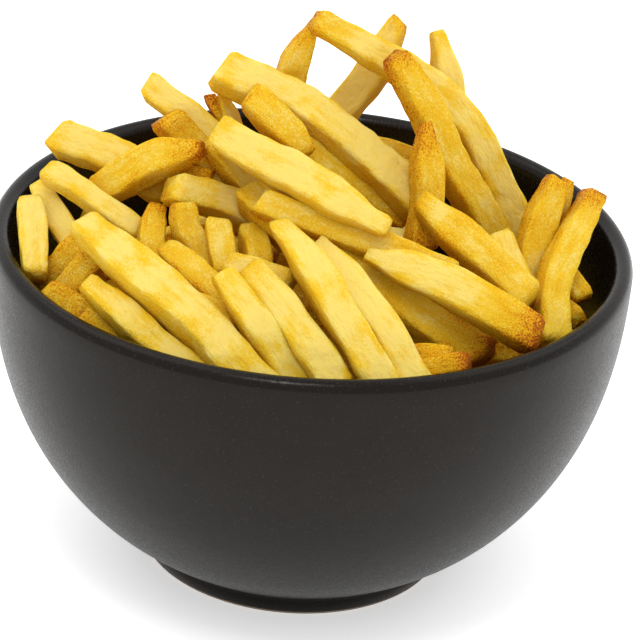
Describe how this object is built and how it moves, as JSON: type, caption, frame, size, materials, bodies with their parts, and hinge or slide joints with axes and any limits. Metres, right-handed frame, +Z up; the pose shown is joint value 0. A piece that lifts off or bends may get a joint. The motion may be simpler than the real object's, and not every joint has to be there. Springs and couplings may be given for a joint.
{
  "type": "french fries portion in a bowl",
  "caption": "Round dark stoneware bowl on a low foot ring, heaped with thick-cut fried potato sticks that stand up over the rim.",
  "frame": {"origin": "middle of the foot ring's underside, on the surface the bowl stands on", "axes": "+Z up, the diner sits towards -Y, +X to the diner's right; the tallest fries stand behind the middle"},
  "size_m": [0.16, 0.16, 0.1439],
  "materials": {
    "stoneware": "satin near-black glaze",
    "fried_potato": null
  },
  "bodies": {
    "root": {"bowl": "stoneware", "fries_heap": "fried_potato"}
  },
  "joints": []
}
